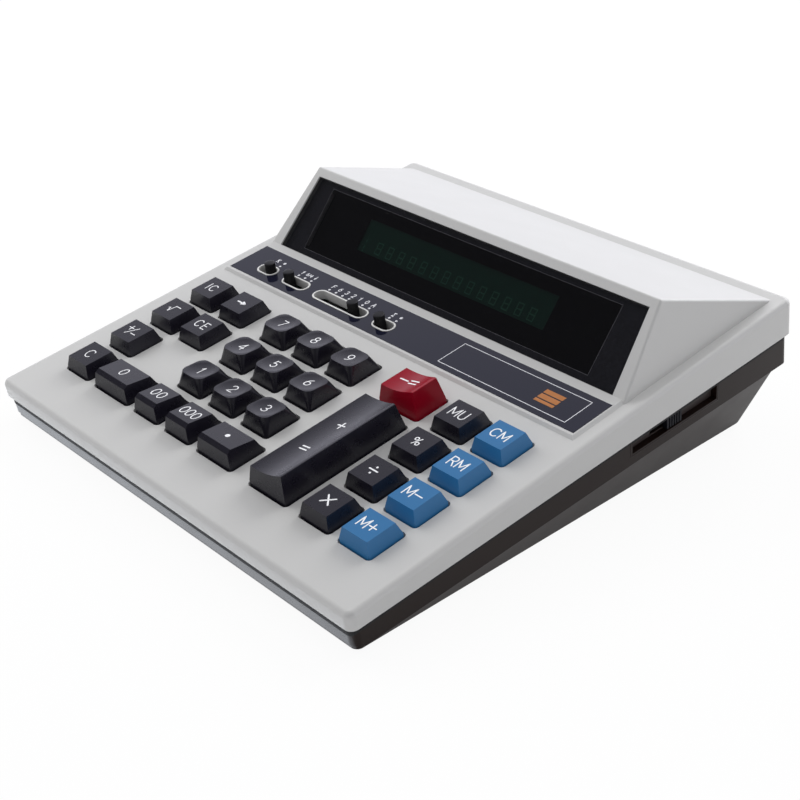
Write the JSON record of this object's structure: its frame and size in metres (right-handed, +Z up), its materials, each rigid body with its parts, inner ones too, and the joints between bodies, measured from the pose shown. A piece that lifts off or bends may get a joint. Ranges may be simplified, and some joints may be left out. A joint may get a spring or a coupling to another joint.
{
  "type": "desk calculator",
  "caption": "Desk calculator with a sloping key deck, sprung keys, selector sliders, a wedge hood over a fluorescent display and a tiered base.",
  "frame": {"origin": "on the floor under the middle of the case's length and width", "axes": "+Z up, +X to the user's right, +Y to the rear"},
  "size_m": [0.2004, 0.2126, 0.0687],
  "materials": {
    "case_grey": "satin, fine texture",
    "base_brown": "satin",
    "strip_slate": "semi-gloss",
    "window_smoke": "gloss, smoked",
    "tube_glass": "gloss",
    "key_black": "satin gloss",
    "key_blue": "satin gloss",
    "key_red": "satin gloss",
    "knob_black": "satin gloss",
    "inner_grey": "moulded",
    "board_green": "solder mask",
    "parts_black": "moulded",
    "switch_steel": "plated",
    "screw_steel": "zinc plated",
    "core_steel": "varnished",
    "wire_red": "insulation",
    "cable_grey": "insulation",
    "rubber_grey": "matt",
    "dome_rubber": "matt"
  },
  "bodies": {
    "base": {"upper_case": "case_grey", "lower_case": "base_brown", "control_strip": "strip_slate", "display_window": "window_smoke", "display_tube": "tube_glass", "display_pads": "rubber_grey", "display_board": "board_green", "key_frame": "inner_grey", "dome_sheet": "dome_rubber", "key_board": "board_green", "selector_switches": "switch_steel", "selector_board": "board_green", "board_screws": "screw_steel", "power_switch": "switch_steel", "main_board": "board_green", "main_board_parts": "parts_black", "main_board_screws": "screw_steel", "transformer": "core_steel", "transformer_screws": "screw_steel", "mains_inlet": "parts_black", "mains_wiring": "wire_red", "ribbon_cables": "cable_grey", "case_screws": "screw_steel", "rubber_feet": "rubber_grey"},
    "key_clear": {"key_clear": "key_black"},
    "key_sign": {"key_sign": "key_black"},
    "key_root": {"key_root": "key_black"},
    "key_item_count": {"key_item_count": "key_black"},
    "key_clear_entry": {"key_clear_entry": "key_black"},
    "key_backspace": {"key_backspace": "key_black"},
    "key_0": {"key_0": "key_black"},
    "key_00": {"key_00": "key_black"},
    "key_000": {"key_000": "key_black"},
    "key_point": {"key_point": "key_black"},
    "key_1": {"key_1": "key_black"},
    "key_2": {"key_2": "key_black"},
    "key_3": {"key_3": "key_black"},
    "key_4": {"key_4": "key_black"},
    "key_5": {"key_5": "key_black"},
    "key_6": {"key_6": "key_black"},
    "key_7": {"key_7": "key_black"},
    "key_8": {"key_8": "key_black"},
    "key_9": {"key_9": "key_black"},
    "key_multiply": {"key_multiply": "key_black"},
    "key_divide": {"key_divide": "key_black"},
    "key_percent": {"key_percent": "key_black"},
    "key_markup": {"key_markup": "key_black"},
    "key_memory_plus": {"key_memory_plus": "key_blue"},
    "key_memory_minus": {"key_memory_minus": "key_blue"},
    "key_memory_recall": {"key_memory_recall": "key_blue"},
    "key_memory_clear": {"key_memory_clear": "key_blue"},
    "key_minus_equals": {"key_minus_equals": "key_red"},
    "key_plus_equals": {"key_plus_equals": "key_black"},
    "constant_knob": {"constant_knob": "knob_black"},
    "rounding_knob": {"rounding_knob": "knob_black"},
    "decimal_knob": {"decimal_knob": "knob_black"},
    "total_knob": {"total_knob": "knob_black"},
    "power_knob": {"power_knob": "knob_black"}
  },
  "joints": [
    {"name": "key_clear_press", "type": "slide", "parent": "base", "child": "key_clear", "axis": [0, 0.1754, -0.9845], "range_m": [0, 0.003], "stiffness_N_per_m": 160, "springref_m": -0.002},
    {"name": "key_sign_press", "type": "slide", "parent": "base", "child": "key_sign", "axis": [0, 0.1754, -0.9845], "range_m": [0, 0.003], "stiffness_N_per_m": 160, "springref_m": -0.002},
    {"name": "key_root_press", "type": "slide", "parent": "base", "child": "key_root", "axis": [0, 0.1754, -0.9845], "range_m": [0, 0.003], "stiffness_N_per_m": 160, "springref_m": -0.002},
    {"name": "key_item_count_press", "type": "slide", "parent": "base", "child": "key_item_count", "axis": [0, 0.1754, -0.9845], "range_m": [0, 0.003], "stiffness_N_per_m": 160, "springref_m": -0.002},
    {"name": "key_clear_entry_press", "type": "slide", "parent": "base", "child": "key_clear_entry", "axis": [0, 0.1754, -0.9845], "range_m": [0, 0.003], "stiffness_N_per_m": 160, "springref_m": -0.002},
    {"name": "key_backspace_press", "type": "slide", "parent": "base", "child": "key_backspace", "axis": [0, 0.1754, -0.9845], "range_m": [0, 0.003], "stiffness_N_per_m": 160, "springref_m": -0.002},
    {"name": "key_0_press", "type": "slide", "parent": "base", "child": "key_0", "axis": [0, 0.1754, -0.9845], "range_m": [0, 0.003], "stiffness_N_per_m": 160, "springref_m": -0.002},
    {"name": "key_00_press", "type": "slide", "parent": "base", "child": "key_00", "axis": [0, 0.1754, -0.9845], "range_m": [0, 0.003], "stiffness_N_per_m": 160, "springref_m": -0.002},
    {"name": "key_000_press", "type": "slide", "parent": "base", "child": "key_000", "axis": [0, 0.1754, -0.9845], "range_m": [0, 0.003], "stiffness_N_per_m": 160, "springref_m": -0.002},
    {"name": "key_point_press", "type": "slide", "parent": "base", "child": "key_point", "axis": [0, 0.1754, -0.9845], "range_m": [0, 0.003], "stiffness_N_per_m": 160, "springref_m": -0.002},
    {"name": "key_1_press", "type": "slide", "parent": "base", "child": "key_1", "axis": [0, 0.1754, -0.9845], "range_m": [0, 0.003], "stiffness_N_per_m": 160, "springref_m": -0.002},
    {"name": "key_2_press", "type": "slide", "parent": "base", "child": "key_2", "axis": [0, 0.1754, -0.9845], "range_m": [0, 0.003], "stiffness_N_per_m": 160, "springref_m": -0.002},
    {"name": "key_3_press", "type": "slide", "parent": "base", "child": "key_3", "axis": [0, 0.1754, -0.9845], "range_m": [0, 0.003], "stiffness_N_per_m": 160, "springref_m": -0.002},
    {"name": "key_4_press", "type": "slide", "parent": "base", "child": "key_4", "axis": [0, 0.1754, -0.9845], "range_m": [0, 0.003], "stiffness_N_per_m": 160, "springref_m": -0.002},
    {"name": "key_5_press", "type": "slide", "parent": "base", "child": "key_5", "axis": [0, 0.1754, -0.9845], "range_m": [0, 0.003], "stiffness_N_per_m": 160, "springref_m": -0.002, "deforming": ["dome_sheet"]},
    {"name": "key_6_press", "type": "slide", "parent": "base", "child": "key_6", "axis": [0, 0.1754, -0.9845], "range_m": [0, 0.003], "stiffness_N_per_m": 160, "springref_m": -0.002},
    {"name": "key_7_press", "type": "slide", "parent": "base", "child": "key_7", "axis": [0, 0.1754, -0.9845], "range_m": [0, 0.003], "stiffness_N_per_m": 160, "springref_m": -0.002},
    {"name": "key_8_press", "type": "slide", "parent": "base", "child": "key_8", "axis": [0, 0.1754, -0.9845], "range_m": [0, 0.003], "stiffness_N_per_m": 160, "springref_m": -0.002},
    {"name": "key_9_press", "type": "slide", "parent": "base", "child": "key_9", "axis": [0, 0.1754, -0.9845], "range_m": [0, 0.003], "stiffness_N_per_m": 160, "springref_m": -0.002},
    {"name": "key_multiply_press", "type": "slide", "parent": "base", "child": "key_multiply", "axis": [0, 0.1754, -0.9845], "range_m": [0, 0.003], "stiffness_N_per_m": 160, "springref_m": -0.002},
    {"name": "key_divide_press", "type": "slide", "parent": "base", "child": "key_divide", "axis": [0, 0.1754, -0.9845], "range_m": [0, 0.003], "stiffness_N_per_m": 160, "springref_m": -0.002},
    {"name": "key_percent_press", "type": "slide", "parent": "base", "child": "key_percent", "axis": [0, 0.1754, -0.9845], "range_m": [0, 0.003], "stiffness_N_per_m": 160, "springref_m": -0.002},
    {"name": "key_markup_press", "type": "slide", "parent": "base", "child": "key_markup", "axis": [0, 0.1754, -0.9845], "range_m": [0, 0.003], "stiffness_N_per_m": 160, "springref_m": -0.002},
    {"name": "key_memory_plus_press", "type": "slide", "parent": "base", "child": "key_memory_plus", "axis": [0, 0.1754, -0.9845], "range_m": [0, 0.003], "stiffness_N_per_m": 160, "springref_m": -0.002},
    {"name": "key_memory_minus_press", "type": "slide", "parent": "base", "child": "key_memory_minus", "axis": [0, 0.1754, -0.9845], "range_m": [0, 0.003], "stiffness_N_per_m": 160, "springref_m": -0.002},
    {"name": "key_memory_recall_press", "type": "slide", "parent": "base", "child": "key_memory_recall", "axis": [0, 0.1754, -0.9845], "range_m": [0, 0.003], "stiffness_N_per_m": 160, "springref_m": -0.002},
    {"name": "key_memory_clear_press", "type": "slide", "parent": "base", "child": "key_memory_clear", "axis": [0, 0.1754, -0.9845], "range_m": [0, 0.003], "stiffness_N_per_m": 160, "springref_m": -0.002},
    {"name": "key_minus_equals_press", "type": "slide", "parent": "base", "child": "key_minus_equals", "axis": [0, 0.1754, -0.9845], "range_m": [0, 0.003], "stiffness_N_per_m": 160, "springref_m": -0.002},
    {"name": "key_plus_equals_press", "type": "slide", "parent": "base", "child": "key_plus_equals", "axis": [0, 0.1754, -0.9845], "range_m": [0, 0.003], "stiffness_N_per_m": 260, "springref_m": -0.002},
    {"name": "constant_knob_slide", "type": "slide", "parent": "base", "child": "constant_knob", "axis": [1, 0, 0], "range_m": [-0.0039, 0]},
    {"name": "rounding_knob_slide", "type": "slide", "parent": "base", "child": "rounding_knob", "axis": [1, 0, 0], "range_m": [0, 0.0078]},
    {"name": "decimal_knob_slide", "type": "slide", "parent": "base", "child": "decimal_knob", "axis": [1, 0, 0], "range_m": [-0.0195, 0.0039]},
    {"name": "total_knob_slide", "type": "slide", "parent": "base", "child": "total_knob", "axis": [1, 0, 0], "range_m": [0, 0.0039]},
    {"name": "power_knob_slide", "type": "slide", "parent": "base", "child": "power_knob", "axis": [0, 0.9934, 0.1149], "range_m": [-0.0085, 0]}
  ]
}
